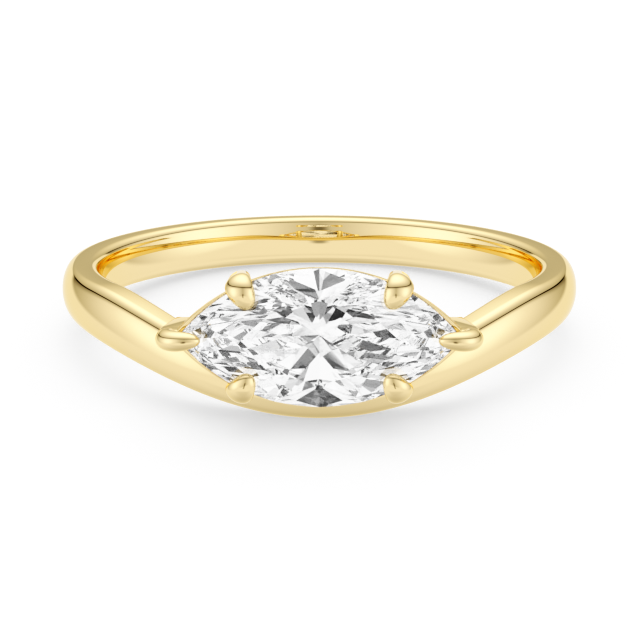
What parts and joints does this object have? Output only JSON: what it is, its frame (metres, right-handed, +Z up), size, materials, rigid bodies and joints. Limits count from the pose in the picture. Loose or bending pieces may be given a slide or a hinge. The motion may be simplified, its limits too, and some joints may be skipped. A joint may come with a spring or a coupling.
{
  "type": "marquise engagement ring",
  "caption": "Yellow gold solitaire ring lying on its side, with a marquise stone set across the finger in rounded claws.",
  "frame": {"origin": "on the surface the ring lies on, below the middle of its outer box", "axes": "+Z up from the surface; -Y towards the stone, which faces the viewer; +X along the stone's length. The finger's axis leans about 6 degrees from +Z, because the band's dipped front lifts the stone's side"},
  "size_m": [0.02, 0.0216, 0.006],
  "materials": {
    "yellow_gold": "14k yellow gold, mirror polished",
    "diamond": "colourless diamond, polished flat facets"
  },
  "bodies": {
    "root": {"ring_mount": "yellow_gold", "marquise_stone": "diamond"}
  },
  "joints": []
}
